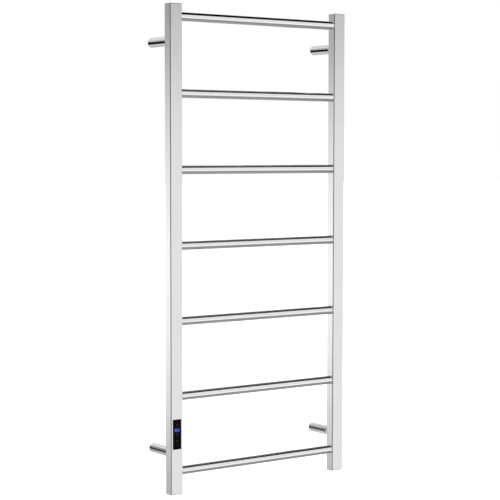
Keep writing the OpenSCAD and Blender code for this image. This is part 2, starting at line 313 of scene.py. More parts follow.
@dataclass(frozen=True)
class SteelFinish(Finish):
    """Stainless or plated steel with drawn grain along one axis and faint cloudiness."""

    roughness: float
    spread: float = 0.04
    cloud: float = 0.04
    cloud_scale: float = 14.0
    smear_scale: float = 60.0
    smear_detail: float = 2.0
    grain_stretch: Place = ALONG_Z
    grain_scale: float = 900.0
    grain_depth: float = 0.02 * MM
    grain_strength: float = 0.05

    def _inputs(self, graph: Graph) -> dict[str, Any]:
        """Grain drives roughness and relief; slow noise drives the colour.

        Args:
            graph: The material's graph.

        Returns:
            The shader's inputs.
        """
        grain = graph.noise(self.grain_stretch, self.grain_scale)
        cloud = graph.noise(EVEN, self.cloud_scale)
        smear = graph.noise(EVEN, self.smear_scale, self.smear_detail)
        rough = self.roughness + self.spread * (grain - 0.5) + self.spread * (smear - 0.5)
        return {
            "Base Color": cloudy(graph, cloud, self.colour, self.cloud),
            "Metallic": 1.0,
            "Roughness": rough,
            "Normal": graph.relief(grain, self.grain_strength, self.grain_depth),
        }


@dataclass(frozen=True)
class MouldedFinish(Finish):
    """Plastic, rubber or ceramic with a fine texture and slight shade changes."""

    roughness: float
    speckle: float = 0.12
    speckle_scale: float = 120.0
    spread: float = 0.12
    texture_scale: float = 2500.0
    texture_depth: float = 0.05 * MM
    texture_strength: float = 0.25
    specular: float = 0.5

    def _inputs(self, graph: Graph) -> dict[str, Any]:
        """Fine noise drives relief and roughness; slow noise drives the colour.

        Args:
            graph: The material's graph.

        Returns:
            The shader's inputs.
        """
        fine = graph.noise(EVEN, self.texture_scale)
        slow = graph.noise(EVEN, self.speckle_scale)
        return {
            "Base Color": cloudy(graph, slow, self.colour, self.speckle),
            "Roughness": self.roughness + self.spread * (fine - 0.5),
            "Specular IOR Level": self.specular,
            "Normal": graph.relief(fine, self.texture_strength, self.texture_depth),
        }


@dataclass(frozen=True)
class GlassFinish(Finish):
    """Back-printed black glass: nearly black, glossy, with the faint smears of fingers."""

    roughness: float
    smear: float = 0.10
    smear_stretch: Place = (1.0, 1.0, 0.6)
    smear_scale: float = 90.0
    smear_at: Span = (0.45, 0.75)
    tone: float = 1.6
    tone_scale: float = 25.0
    specular: float = 0.04

    def _inputs(self, graph: Graph) -> dict[str, Any]:
        """Smears raise the roughness a little in patches.

        Args:
            graph: The material's graph.

        Returns:
            The shader's inputs.
        """
        patch = graph.noise(self.smear_stretch, self.smear_scale).step(*self.smear_at)
        tone = graph.noise(EVEN, self.tone_scale)
        return {
            "Base Color": graph.mix(tone, self.colour, shade(self.colour, self.tone)),
            "Roughness": self.roughness + self.smear * patch,
            "Specular IOR Level": self.specular,
        }


@dataclass(frozen=True)
class LitFinish(Finish):
    """Printed symbol or display segment with light behind it."""

    glow: float
    dimmest: float = 0.85
    uneven_scale: float = 700.0
    print_dark: float = 0.20
    print_light: float = 0.26
    roughness: float = 0.3
    spread: float = 0.1
    specular: float = 0.04

    def _inputs(self, graph: Graph) -> dict[str, Any]:
        """The light behind is a little uneven.

        Args:
            graph: The material's graph.

        Returns:
            The shader's inputs.
        """
        uneven = graph.noise(EVEN, self.uneven_scale, 1.0)
        dark, light = shade(self.colour, self.print_dark), shade(self.colour, self.print_light)
        return {
            "Base Color": graph.mix(uneven, dark, light),
            "Roughness": self.roughness + self.spread * uneven,
            "Specular IOR Level": self.specular,
            "Emission Color": graph.mix(uneven, shade(self.colour, self.dimmest), self.colour),
            "Emission Strength": self.glow,
        }


@dataclass(frozen=True)
class BoardFinish(Finish):
    """Solder mask over copper tracks."""

    track: Colour
    track_scale: float = 420.0
    track_at: Span = (0.32, 0.38)
    track_strength: float = 0.5
    track_depth: float = 0.05 * MM
    roughness: float = 0.35
    spread: float = 0.1

    def _inputs(self, graph: Graph) -> dict[str, Any]:
        """Stepped cells give blocks of track that stand a little proud.

        Args:
            graph: The material's graph.

        Returns:
            The shader's inputs.
        """
        cells = {"Vector": graph.place(), "Scale": self.track_scale}
        blocks = graph.add("ShaderNodeTexVoronoi", {"distance": "MANHATTAN"}, cells, "Distance")
        tracks = blocks.step(*self.track_at)
        return {
            "Base Color": graph.mix(tracks, self.colour, self.track),
            "Roughness": self.roughness - self.spread * tracks,
            "Normal": graph.relief(tracks, self.track_strength, self.track_depth),
        }


SATIN_STEEL = SteelFinish("satin_steel", (0.80, 0.80, 0.80), 0.14)
# The caps' darker grey is painted shade: it stands in for the dark shadow line along the uprights' top and
# bottom edges.
SHADED_CAP_STEEL = SteelFinish("cap_steel", (0.52, 0.52, 0.52), 0.20, grain_stretch=ALONG_X)
MIRROR_STEEL = SteelFinish(
    "mirror_steel", (0.93, 0.93, 0.93), 0.045, spread=0.02, cloud=0.02,
    grain_stretch=ALONG_X, grain_strength=0.02,
)
SLEEVE_STEEL = SteelFinish(
    "sleeve_steel", (0.93, 0.925, 0.89), 0.05, spread=0.02, cloud=0.02,
    grain_stretch=ALONG_Y, grain_strength=0.02,
)
ZINC = SteelFinish("zinc_plate", (0.60, 0.60, 0.57), 0.32, spread=0.12, cloud=0.10)
SPRING_STEEL = SteelFinish("spring_steel", (0.62, 0.62, 0.64), 0.28, spread=0.08)
TINNED_BRASS = SteelFinish("tinned_brass", (0.72, 0.66, 0.50), 0.35, spread=0.10, cloud=0.08)
PANEL_GLASS = GlassFinish("panel_glass", (0.0006, 0.0006, 0.0008), 0.08)
BLACK_PLASTIC = MouldedFinish("black_plastic", (0.030, 0.030, 0.032), 0.55)
DISPLAY_FILTER = MouldedFinish("display_filter", (0.010, 0.015, 0.060), 0.30)
RELAY_PLASTIC = MouldedFinish("relay_plastic", (0.03, 0.08, 0.35), 0.40)
TERMINAL_PLASTIC = MouldedFinish("terminal_plastic", (0.78, 0.75, 0.64), 0.45)
CUTOUT_CERAMIC = MouldedFinish("cutout_ceramic", (0.60, 0.48, 0.30), 0.60)
PAD_FOAM = MouldedFinish(
    "pad_foam", (0.12, 0.12, 0.12), 0.85, texture_scale=1400.0, texture_depth=0.2 * MM,
)
BLACK_RUBBER = MouldedFinish("black_rubber", (0.025, 0.025, 0.025), 0.70)
SILICONE = MouldedFinish("silicone_sheath", (0.62, 0.16, 0.05), 0.50)
RED_LENS = MouldedFinish("red_lens", (0.45, 0.02, 0.02), 0.20)
SOLDER_MASK = BoardFinish("solder_mask", (0.02, 0.16, 0.06), (0.05, 0.28, 0.10))
BLUE_FILTER = LitFinish("blue_filter", (0.008, 0.014, 0.13), 0.42)
BLUE_GLOW = LitFinish("blue_digits", (0.10, 0.19, 0.90), 1.05)
DIM_PRINT = LitFinish("dim_print", (0.045, 0.045, 0.055), 1.1)
VIOLET_PRINT = LitFinish("violet_print", (0.045, 0.040, 0.08), 0.9)
FAINT_PRINT = LitFinish("faint_print", (0.020, 0.020, 0.022), 0.45)
RED_GLOW = LitFinish("red_dot", (0.055, 0.004, 0.006), 0.6)


class Paintbox:
    """Builds each finish's material once."""

    def __init__(self) -> None:
        """Starts with no materials."""
        self._made: dict[str, bpy.types.Material] = {}

    def get(self, finish: Finish) -> bpy.types.Material:
        """The material of a finish.

        Args:
            finish: Any finish above.

        Returns:
            Its material, made on first use.
        """
        if finish.name not in self._made:
            self._made[finish.name] = finish.build()
        return self._made[finish.name]


PAINT = Paintbox()


# ---------------------------------------------------------------- mesh tools


def arc(centre: Point, radius: float, start: float, end: float, steps: int) -> list[Point]:
    """Points along an arc, both ends included.

    Args:
        centre: Centre of the circle.
        radius: Its radius.
        start: First angle, in degrees.
        end: Last angle, in degrees.
        steps: Number of chords.

    Returns:
        The points in order.
    """
    angles = (math.radians(start + (end - start) * k / steps) for k in range(steps + 1))
    return [(centre[0] + radius * math.cos(a), centre[1] + radius * math.sin(a)) for a in angles]


def rounded_outline(width: float, height: float, radius: float, steps: int = 8) -> list[Point]:
    """Rectangle with round corners, about the origin, anticlockwise.

    Args:
        width: Full width.
        height: Full height.
        radius: Corner radius.
        steps: Chords in each corner.

    Returns:
        The outline's points.
    """
    x, y = width / 2 - radius, height / 2 - radius
    corners = [((x, y), 0), ((-x, y), 90), ((-x, -y), 180), ((x, -y), 270)]
    return [p for centre, turn in corners for p in arc(centre, radius, turn, turn + 90, steps)]


def circle_outline(radius: float, steps: int) -> list[Point]:
    """A circle about the origin, anticlockwise, with its first point given once."""
    return arc((0.0, 0.0), radius, 0.0, 360.0, steps)[:-1]


def add_object(name: str, data: Any) -> bpy.types.Object:
    """Puts a mesh, camera or light into the scene.

    Args:
        name: The object's name.
        data: Its mesh, camera or light.

    Returns:
        The object.
    """
    made = bpy.data.objects.new(name, data)
    bpy.context.scene.collection.objects.link(made)
    return made


def flat_sheet(name: str, corners: Sequence[Place]) -> bpy.types.Object:
    """Puts one flat face of four corners into the scene.

    Args:
        name: The object's name.
        corners: Its corners in order.

    Returns:
        The object.
    """
    data = bpy.data.meshes.new(name)
    data.from_pydata(corners, [], [(0, 1, 2, 3)])
    return add_object(name, data)


class Solid:
    """A closed mesh under construction."""

    def __init__(self) -> None:
        """Starts empty."""
        self.mesh = bmesh.new()

    def ring(self, points: Iterable[Sequence[float]]) -> list[bmesh.types.BMVert]:
        """Adds a ring of vertices."""
        return [self.mesh.verts.new(p) for p in points]

    def wall(self, low: list[bmesh.types.BMVert], high: list[bmesh.types.BMVert]) -> None:
        """Joins two rings of equal length with quads.

        Args:
            low: The first ring.
            high: The ring after it.
        """
        count = len(low)
        for k in range(count):
            n = (k + 1) % count
            self.mesh.faces.new((low[k], low[n], high[n], high[k]))

    def lid(self, ring: list[bmesh.types.BMVert], flip: bool) -> None:
        """Closes a ring with one face."""
        self.mesh.faces.new(list(reversed(ring)) if flip else ring)

    def loft(self, rings: Sequence[Iterable[Sequence[float]]], closed: bool = False) -> "Solid":
        """Lofts rings into a skin.

        Args:
            rings: Rings of points, all of one length.
            closed: Whether the last ring joins the first, as in a tube with a bore.

        Returns:
            The solid itself.
        """
        made = [self.ring(r) for r in rings]
        for low, high in zip(made, made[1:]):
            self.wall(low, high)
        if closed:
            self.wall(made[-1], made[0])
        else:
            self.lid(made[0], True)
            self.lid(made[-1], False)
        return self

    def finish(self, name: str, finish: Finish, sharp: float = 35.0) -> bpy.types.Object:
        """Turns the mesh into a dressed object.

        Args:
            name: The object's name.
            finish: Its finish.
            sharp: Edges that turn by more than this many degrees stay crisp.

        Returns:
            The object, linked to the scene.
        """
        bmesh.ops.recalc_face_normals(self.mesh, faces=self.mesh.faces)
        data = bpy.data.meshes.new(name)
        self.mesh.to_mesh(data)
        self.mesh.free()
        piece = add_object(name, data)
        data.materials.append(PAINT.get(finish))
        smooth_by_angle(data, sharp)
        return piece


def smooth_by_angle(data: bpy.types.Mesh, sharp: float) -> None:
    """Smooth shading with crisp edges where faces turn by more than an angle.

    Args:
        data: The mesh.
        sharp: The angle, in degrees.
    """
    work = bmesh.new()
    work.from_mesh(data)
    limit = math.radians(sharp)
    for face in work.faces:
        face.smooth = True
    for edge in work.edges:
        edge.smooth = len(edge.link_faces) == 2 and edge.calc_face_angle(0.0) < limit
    work.to_mesh(data)
    work.free()


def even_normals(piece: bpy.types.Object) -> None:
    """Keeps large flat faces flat in the shading, beside their rounded corners.

    Args:
        piece: The piece.
    """
    weighted = piece.modifiers.new("even_normals", "WEIGHTED_NORMAL")
    weighted.keep_sharp = True
    weighted.weight = 100
    settle(piece)


def settle(piece: bpy.types.Object) -> None:
    """Applies all modifiers of a piece.

    Args:
        piece: The piece.
    """
    bpy.context.view_layer.update()
    graph = bpy.context.evaluated_depsgraph_get()
    data = bpy.data.meshes.new_from_object(piece.evaluated_get(graph))
    old = piece.data
    piece.modifiers.clear()
    piece.data = data
    data.name = old.name
    bpy.data.meshes.remove(old)


def cut(piece: bpy.types.Object, tools: Sequence[bpy.types.Object], sharp: float = 35.0) -> None:
    """Cuts tools out of a piece and removes them.

    Args:
        piece: The piece that is cut.
        tools: Closed meshes.
        sharp: Edges that turn by more than this many degrees stay crisp.
    """
    for tool in tools:
        boolean = piece.modifiers.new("cut", "BOOLEAN")
        boolean.operation = "DIFFERENCE"
        boolean.solver = "EXACT"
        boolean.object = tool
    settle(piece)
    for tool in tools:
        bpy.data.objects.remove(tool)
    smooth_by_angle(piece.data, sharp)


def rod(name: str, radius: float, start: Vector, end: Vector, steps: int = 48) -> bpy.types.Object:
    """A plain cylinder used as a cutting tool.

    Args:
        name: Its name.
        radius: Its radius.
        start: Centre of one end.
        end: Centre of the other.
        steps: Sides.

    Returns:
        The cylinder.
    """
    turn = (end - start).to_track_quat("Z", "Y").to_matrix()
    circle = [turn @ Vector((*p, 0.0)) for p in circle_outline(radius, steps)]
    rings = [[centre + p for p in circle] for centre in (start, end)]
    return Solid().loft(rings).finish(name, BLACK_PLASTIC)


def turned(profile: Sequence[Point], axis: Matrix, steps: int) -> list[list[Vector]]:
    """Rings of a turned part.

    Args:
        profile: (place along the axis, radius) pairs.
        axis: Takes the part's own Z axis to where it lies.
        steps: Sides of each ring.

    Returns:
        One ring for each pair.
    """
    return [
        [axis @ Vector((*p, along)) for p in circle_outline(radius, steps)]
        for along, radius in profile
    ]


def mount(piece: bpy.types.Object, nodes: Sequence[str] = ()) -> bpy.types.Object:
    """Puts a finished piece on the frame.

    Args:
        piece: The piece.
        nodes: CAD nodes that the piece stands for.

    Returns:
        The piece.
    """
    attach(piece, BODY)
    if nodes:
        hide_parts(*nodes)
    LOG.info("%s: %d faces", piece.name, len(piece.data.polygons))
    return piece


def middle(node: str) -> Vector:
    """Centre of a CAD node's box."""
    low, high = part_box(node)
    return (low + high) / 2


# ---------------------------------------------------------------- uprights


@dataclass
class Upright:
    """One rectangular tube with its two end caps."""

    side: Side
    wall: float = 1.5 * MM
    corner: float = 2.0 * MM
    corner_steps: int = 10
    cap_edge: float = 1.3 * MM
    cap_steps: int = 5
    seam: float = 0.12 * MM
    wire_hole: float = 5.0 * MM
    wire_forward: float = 2.5 * MM
    nut_hole: float = 4.5 * MM
    grommet_hole: float = 5.0 * MM
    window_gap: float = 0.15 * MM
    window_corner: float = 1.2 * MM
    plug_gap: float = 0.6 * MM
    plug_corner: float = 0.5 * MM
    plug_steps: int = 3
    cap_sharp: float = 25.0

    def build(self) -> None:
        """Makes the tube and both caps."""
        self._tube()
        for level in Level:
            self._cap(level)

    def _box(self) -> tuple[Vector, Vector]:
        """Lowest and highest corner of the tube."""
        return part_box(f"{self.side.word}_post")

    def _tube(self) -> None:
        """Tube with its window, wiring holes, nut holes and grommet hole."""
        low, high = self._box()
        centre = (low + high) / 2
        width, depth = high.x - low.x, high.y - low.y
        outer = rounded_outline(width, depth, self.corner, self.corner_steps)
        inner = rounded_outline(
            width - 2 * self.wall, depth - 2 * self.wall, self.corner - self.wall, self.corner_steps
        )
        levels = ((outer, low.z), (outer, high.z), (inner, high.z), (inner, low.z))
        rings = [[(centre.x + x, centre.y + y, z) for x, y in line] for line, z in levels]
        tube = Solid().loft(rings, closed=True).finish(f"{self.side.word}_upright", SATIN_STEEL)
        tools = self._wire_tools(low, high) + self._nut_tools(high)
        if self.side is Side.LEFT:
            tools += [self._window_tool(low), self._grommet_tool(high)]
        cut(tube, tools)
        even_normals(tube)
        mount(tube, [f"{self.side.word}_post"])

    def _wire_tools(self, low: Vector, high: Vector) -> list[bpy.types.Object]:
        """Cutters for the wiring holes behind the bars' ends.

        Args:
            low: Lowest corner of the tube.
            high: Highest corner of the tube.

        Returns:
            The cutters.
        """
        inner_face = high.x if self.side is Side.LEFT else low.x
        tools = []
        for name in bar_names():
            centre = middle(name)
            start = Vector((inner_face - 2 * self.wall, centre.y - self.wire_forward, centre.z))
            end = Vector((inner_face + 2 * self.wall, centre.y - self.wire_forward, centre.z))
            tools.append(rod(f"wire_hole_{name}", self.wire_hole, start, end))
        return tools

    def _nut_tools(self, high: Vector) -> list[bpy.types.Object]:
        """Cutters for the rivet nuts' holes in the back wall.

        Args:
            high: Highest corner of the tube.

        Returns:
            The cutters.
        """
        tools = []
        for level in Level:
            centre = middle(f"standoff_{level.word}_{self.side.word}")
            start = Vector((centre.x, high.y - 2 * self.wall, centre.z))
            end = Vector((centre.x, high.y + self.wall, centre.z))
            tools.append(rod(f"nut_hole_{level.word}", self.nut_hole, start, end))
        return tools

    def _window_tool(self, low: Vector) -> bpy.types.Object:
        """Cutter for the touch panel's window.

        Args:
            low: Lowest corner of the tube.

        Returns:
            The cutter.
        """
        glass_low, glass_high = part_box("glass_panel")
        centre = (glass_low + glass_high) / 2
        width = glass_high.x - glass_low.x + 2 * self.window_gap
        height = glass_high.z - glass_low.z + 2 * self.window_gap
        line = rounded_outline(width, height, self.window_corner)
        depths = (low.y - self.wall, low.y + 2 * self.wall)
        rings = [[(centre.x + x, y, centre.z + z) for x, z in line] for y in depths]
        return Solid().loft(rings).finish("window", BLACK_PLASTIC)

    def _grommet_tool(self, high: Vector) -> bpy.types.Object:
        """Cutter for the mains grommet's hole.

        Args:
            high: Highest corner of the tube.

        Returns:
            The cutter.
        """
        centre = middle("mains_grommet")
        start = Vector((centre.x, high.y - 2 * self.wall, centre.z))
        end = Vector((centre.x, high.y + self.wall, centre.z))
        return rod("grommet_hole", self.grommet_hole, start, end)

    def _cap(self, level: Level) -> None:
        """Closing plate with a rounded rim, a fine seam under it and its hollow plug.

        Args:
            level: Which end of the tube it closes.
        """
        node = f"{self.side.word}_{level.word}_cap"
        low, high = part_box(node)
        tube_low, tube_high = self._box()
        seat = tube_high.z if level is Level.TOP else tube_low.z
        end = high.z if level is Level.TOP else low.z
        up = level.value
        centre = (low + high) / 2
        width, depth = high.x - low.x, high.y - low.y
        rings = [self._cap_ring(centre, width, depth, self.seam, seat)]
        rings.append(self._cap_ring(centre, width, depth, 0.0, seat + up * self.seam))
        for inset, drop in arc((0.0, 0.0), self.cap_edge, 0.0, 90.0, self.cap_steps):
            z = end - up * (self.cap_edge - drop)
            rings.append(self._cap_ring(centre, width, depth, self.cap_edge - inset, z))
        plate = Solid().loft(rings)
        plug_end = low.z if level is Level.TOP else high.z
        play = 2 * (self.wall + self.plug_gap)
        self._plug(plate, centre, (width - play, depth - play), seat, plug_end)
        # The cap plate gets the darker grey, which is painted shade for the shadow line at the upright's
        # end.
        cap = plate.finish(node + "_plate", SHADED_CAP_STEEL, self.cap_sharp)
        even_normals(cap)
        mount(cap, [node])

    def _cap_ring(self, centre: Vector, width: float, depth: float, inset: float, z: float) -> list[Vector]:
        """The cap's outline at one height, drawn in by an inset.

        Args:
            centre: Centre of the cap.
            width: Its full size along X.
            depth: Its full size along Y.
            inset: How far the outline is drawn in.
            z: Height.

        Returns:
            The ring.
        """
        corner = self.corner - min(inset, self.corner / 2)
        line = rounded_outline(width - 2 * inset, depth - 2 * inset, corner, self.corner_steps)
        return [Vector((centre.x + x, centre.y + y, z)) for x, y in line]

    def _plug(self, solid: Solid, centre: Vector, size: Point, seat: float, end: float) -> None:
        """Adds the cap's hollow plug to its mesh as a separate closed skin.

        Args:
            solid: The cap's mesh.
            centre: Centre of the cap.
            size: Full size of the plug along X and Y.
            seat: Height where it meets the plate.
            end: Height of its free end.
        """
        inner = (size[0] - 2 * self.wall, size[1] - 2 * self.wall)
        rings = []
        for (w, d), z in ((size, seat), (size, end), (inner, end), (inner, seat)):
            line = rounded_outline(w, d, self.plug_corner, self.plug_steps)
            rings.append([(centre.x + x, centre.y + y, z) for x, y in line])
        solid.loft(rings, closed=True)


def bar_names() -> list[str]:
    """The bars' node names, top first."""
    names = [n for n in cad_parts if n.startswith("bar_")]
    return sorted(names, key=lambda n: int(n.split("_")[1]))


# ---------------------------------------------------------------- bars


@dataclass
class Rungs:
    """The seven round bars, each welded between the uprights."""

    wall: float = 1.2 * MM
    sides: int = 96
    bead: float = 0.9 * MM
    bead_steps: int = 10
    bite: float = 0.8 * MM

    def build(self) -> None:
        """Makes every bar."""
        for name in bar_names():
            self._bar(name)

    def _bar(self, name: str) -> None:
        """One tube whose ends flare into a small weld bead.

        Args:
            name: The bar's node.
        """
        low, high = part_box(name)
        centre = (low + high) / 2
        radius = (high.z - low.z) / 2
        half = (high.x - low.x) / 2
        flare = [
            (half - self.bead + x, radius + self.bead - y)
            for x, y in arc((0.0, 0.0), self.bead, 90.0, 0.0, self.bead_steps)
        ]
        end = flare + [(half + self.bite, radius + self.bead)]
        outer = [(-x, r) for x, r in reversed(end)] + end
        bore = radius - self.wall
        profile = outer + [(half + self.bite, bore), (-half - self.bite, bore)]
        axis = Matrix.Translation(centre) @ Matrix.Rotation(math.radians(90), 4, "Y")
        skin = Solid().loft(turned(profile, axis, self.sides), closed=True)
        mount(skin.finish(name + "_tube", MIRROR_STEEL), [name])


# ---------------------------------------------------------------- standoffs


@dataclass
class Standoffs:
    """The four sleeves between the uprights and the wall."""

    wall: float = 2.0 * MM
    end: float = 4.0 * MM
    sides: int = 96
    edge: float = 0.5 * MM
    edge_steps: int = 4
    bolt_hole: float = 3.2 * MM
    grub_hole: float = 2.0 * MM
    grub_from_wall: float = 12.0 * MM

    def build(self) -> None:
        """Makes every sleeve."""
        for level in Level:
            for side in Side:
                self._sleeve(f"standoff_{level.word}_{side.word}")

    def _sleeve(self, node: str) -> None:
        """A bored sleeve with rounded rims and its grub-screw hole underneath.

        Args:
            node: The standoff's node.
        """
        low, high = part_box(node)
        centre = (low + high) / 2
        radius = (high.z - low.z) / 2
        bore = radius - self.wall
        near, far = low.y, high.y
        rim = arc((0.0, 0.0), self.edge, 90.0, 0.0, self.edge_steps)
        rim_near = [(near + self.edge - y, radius - self.edge + x) for x, y in rim]
        rim_far = [(far - self.edge + x, radius - self.edge + y) for x, y in rim]
        floor = near + self.end
        inside = [(far, bore), (floor, bore), (floor, self.bolt_hole), (near, self.bolt_hole)]
        profile = rim_near + rim_far + inside
        axis = Matrix.Translation((centre.x, 0.0, centre.z)) @ Matrix.Rotation(math.radians(-90), 4, "X")
        skin = Solid().loft(turned(profile, axis, self.sides), closed=True)
        sleeve = skin.finish(node + "_sleeve", SLEEVE_STEEL)
        hole = Vector((centre.x, -self.grub_from_wall, centre.z - radius - self.wall))
        cut(sleeve, [rod("grub_hole", self.grub_hole, hole, hole + Vector((0.0, 0.0, 3 * self.wall)))])
        even_normals(sleeve)
        mount(sleeve, [node])


# ---------------------------------------------------------------- touch panel


SEGMENTS = {
    "0": "abcdef", "1": "bc", "2": "abged", "3": "abgcd", "4": "fgbc", "5": "afgcd",
    "6": "afgedc", "7": "abc", "8": "abcdefg", "9": "abcdfg",
}


class Symbol(Enum):
    """Key symbols, generic."""

    POWER = "power"
    CLOCK = "clock"
    UP = "up"
    DOWN = "down"


@dataclass
class TouchPanel:
    """Black glass with a red dot, two blue digits and four printed key symbols."""

    corner: float = 1.2 * MM
    edge: float = 0.35 * MM
    edge_steps: int = 4
    sharp: float = 30.0
    sink: float = 0.05 * MM
    print_lift: float = 0.03 * MM
    digits: str = "65"
    digit_height: float = 4.8 * MM
    digit_width: float = 4.4 * MM
    digit_gap: float = 1.9 * MM
    stroke: float = 1.0 * MM
    stroke_gap: float = 0.25 * MM
    digit_place: float = 0.355
    lens_width: float = 15.0 * MM
    lens_height: float = 11.5 * MM
    lens_corner: float = 0.8 * MM
    lens_lift: float = 0.01 * MM
    dot_place: float = 0.085
    dot_radius: float = 1.3 * MM
    dot_steps: int = 24
    symbol_radius: float = 2.6 * MM
    symbol_stroke: float = 0.55 * MM
    symbol_steps: int = 40
    power_opening: float = 32.0
    clock_opening: float = 0.001
    power_hand: float = 0.1
    clock_hand: float = -0.25
    symbol_places: dict[Symbol, float] = field(
        default_factory=lambda: {
            Symbol.POWER: 0.19, Symbol.CLOCK: 0.51, Symbol.UP: 0.70, Symbol.DOWN: 0.83,
        }
    )
    low: Vector = field(init=False)
    high: Vector = field(init=False)
    centre: Vector = field(init=False)
    front: float = field(init=False)

    def build(self) -> None:
        """Makes the glass and everything on it."""
        self.low, self.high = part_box("glass_panel")
        self.centre = (self.low + self.high) / 2
        self.front = self.low.y + self.sink
        self._glass()
        self._lens()
        self._digits()
        self._dot()
        self._symbols()

    def _z(self, share: float) -> float:
        """Height of a share of the glass from its top."""
        return self.high.z - share * (self.high.z - self.low.z)

    def _glass(self) -> None:
        """The glass, with polished edges."""
        width, height = self.high.x - self.low.x, self.high.z - self.low.z
        rings = []
        for cosine, sine in arc((0.0, 0.0), self.edge, 0.0, 90.0, self.edge_steps):
            inset, depth = self.edge - sine, self.edge - cosine
            rings.append(self._outline(width - 2 * inset, height - 2 * inset, self.front + depth))
        rings.append(self._outline(width, height, self.high.y))
        glass = Solid().loft(rings).finish("touch_glass", PANEL_GLASS, self.sharp)
        even_normals(glass)
        mount(glass, ["glass_panel"])

    def _outline(self, width: float, height: float, y: float) -> list[Place]:
        """The glass outline at one depth."""
        line = rounded_outline(width, height, self.corner)
        return [(self.centre.x + x, y, self.centre.z + z) for x, z in line]

    def _plate(self, solid: Solid, line: Sequence[Point], x: float, z: float, lift: float) -> None:
        """Adds a thin plate that stands on the glass.

        Args:
            solid: Mesh that receives the plate.
            line: Its outline, anticlockwise, about (x, z).
            x: Place across the glass from its middle.
            z: Height.
            lift: How far it stands proud of the glass.
        """
        rings = [[(self.centre.x + x + u, y, z + v) for u, v in line]
                 for y in (self.front + self.sink, self.front - lift)]
        solid.loft(rings)

    def _lens(self) -> None:
        """Dark blue filter behind the digits."""
        solid = Solid()
        line = rounded_outline(self.lens_width, self.lens_height, self.lens_corner)
        self._plate(solid, line, 0.0, self._z(self.digit_place), self.lens_lift)
        mount(solid.finish("display_filter_window", BLUE_FILTER))

    def _digits(self) -> None:
        """Two seven-segment digits."""
        solid = Solid()
        step = self.digit_width + self.digit_gap
        for k, digit in enumerate(self.digits):
            x = (k - (len(self.digits) - 1) / 2) * step
            for segment in SEGMENTS[digit]:
                self._segment(solid, segment, x, self._z(self.digit_place))
        mount(solid.finish("display_digits", BLUE_GLOW))

    def _segment(self, solid: Solid, segment: str, x: float, z: float) -> None:
        """Adds one segment, a bar with pointed ends.

        Args:
            solid: Mesh that receives the segment.
            segment: Its letter, from the top clockwise, with g across the middle.
            x: Middle of the digit across the glass.
            z: Height of the digit's middle.
        """
        half_w, half_h = self.digit_width / 2, self.digit_height / 2
        places = {
            "a": (0, half_h, False), "g": (0, 0, False), "d": (0, -half_h, False),
            "f": (-half_w, half_h / 2, True), "b": (half_w, half_h / 2, True),
            "e": (-half_w, -half_h / 2, True), "c": (half_w, -half_h / 2, True),
        }
        u, v, upright = places[segment]
        length = (half_h if upright else self.digit_width) - self.stroke_gap
        t = self.stroke / 2
        h = length / 2
        line = [(-h, 0), (-h + t, -t), (h - t, -t), (h, 0), (h - t, t), (-h + t, t)]
        if upright:
            line = [(-b, a) for a, b in line]
        self._plate(solid, line, x + u, z + v, self.print_lift)

    def _dot(self) -> None:
        """Red indicator dot."""
        solid = Solid()
        line = circle_outline(self.dot_radius, self.dot_steps)
        self._plate(solid, line, 0.0, self._z(self.dot_place), self.print_lift)
        mount(solid.finish("indicator_dot", RED_GLOW))

    def _symbols(self) -> None:
        """The four key symbols."""
        prints = {Symbol.CLOCK: VIOLET_PRINT, Symbol.DOWN: FAINT_PRINT}
        for symbol, place in self.symbol_places.items():
            solid = Solid()
            self._draw(solid, symbol, self._z(place))
            finish = prints.get(symbol, DIM_PRINT)
            mount(solid.finish(f"symbol_{symbol.value}", finish))

    def _draw(self, solid: Solid, symbol: Symbol, z: float) -> None:
        """Draws one symbol about its key's centre.

        Args:
            solid: Mesh that receives the symbol.
            symbol: Which symbol.
            z: Height of the key's centre.
        """
        radius, stroke = self.symbol_radius, self.symbol_stroke
        if symbol in (Symbol.POWER, Symbol.CLOCK):
            power = symbol is Symbol.POWER
            gap = self.power_opening if power else self.clock_opening
            outer, inner = (
                arc((0.0, 0.0), r, 90.0 + gap, 450.0 - gap, self.symbol_steps)
                for r in (radius, radius - stroke)
            )
            self._band(solid, outer, inner, z)
            hand = [(-stroke / 2, 0.0), (stroke / 2, 0.0), (stroke / 2, radius), (-stroke / 2, radius)]
            foot = radius * (self.power_hand if power else self.clock_hand)
            self._plate(solid, hand, 0.0, z + foot, self.print_lift)
            return
        way = 1.0 if symbol is Symbol.UP else -1.0
        half = way * radius / 2
        arrow = [(-way * radius, -half), (way * radius, -half), (0.0, half)]
        self._plate(solid, arrow, 0.0, z, self.print_lift)

    def _band(self, solid: Solid, outer: Sequence[Point], inner: Sequence[Point], z: float) -> None:
        """Adds a curved band between two lines of equal length.

        Args:
            solid: Mesh that receives the band.
            outer: Its outer line.
            inner: Its inner line.
            z: Height of the band's centre.
        """
        front, back = self.front - self.print_lift, self.front + self.sink
        x = self.centre.x
        solid.loft([
            [(x + a, front, z + b), (x + c, front, z + d), (x + c, back, z + d), (x + a, back, z + b)]
            for (a, b), (c, d) in zip(outer, inner)
        ])


# ---------------------------------------------------------------- carried-over parts


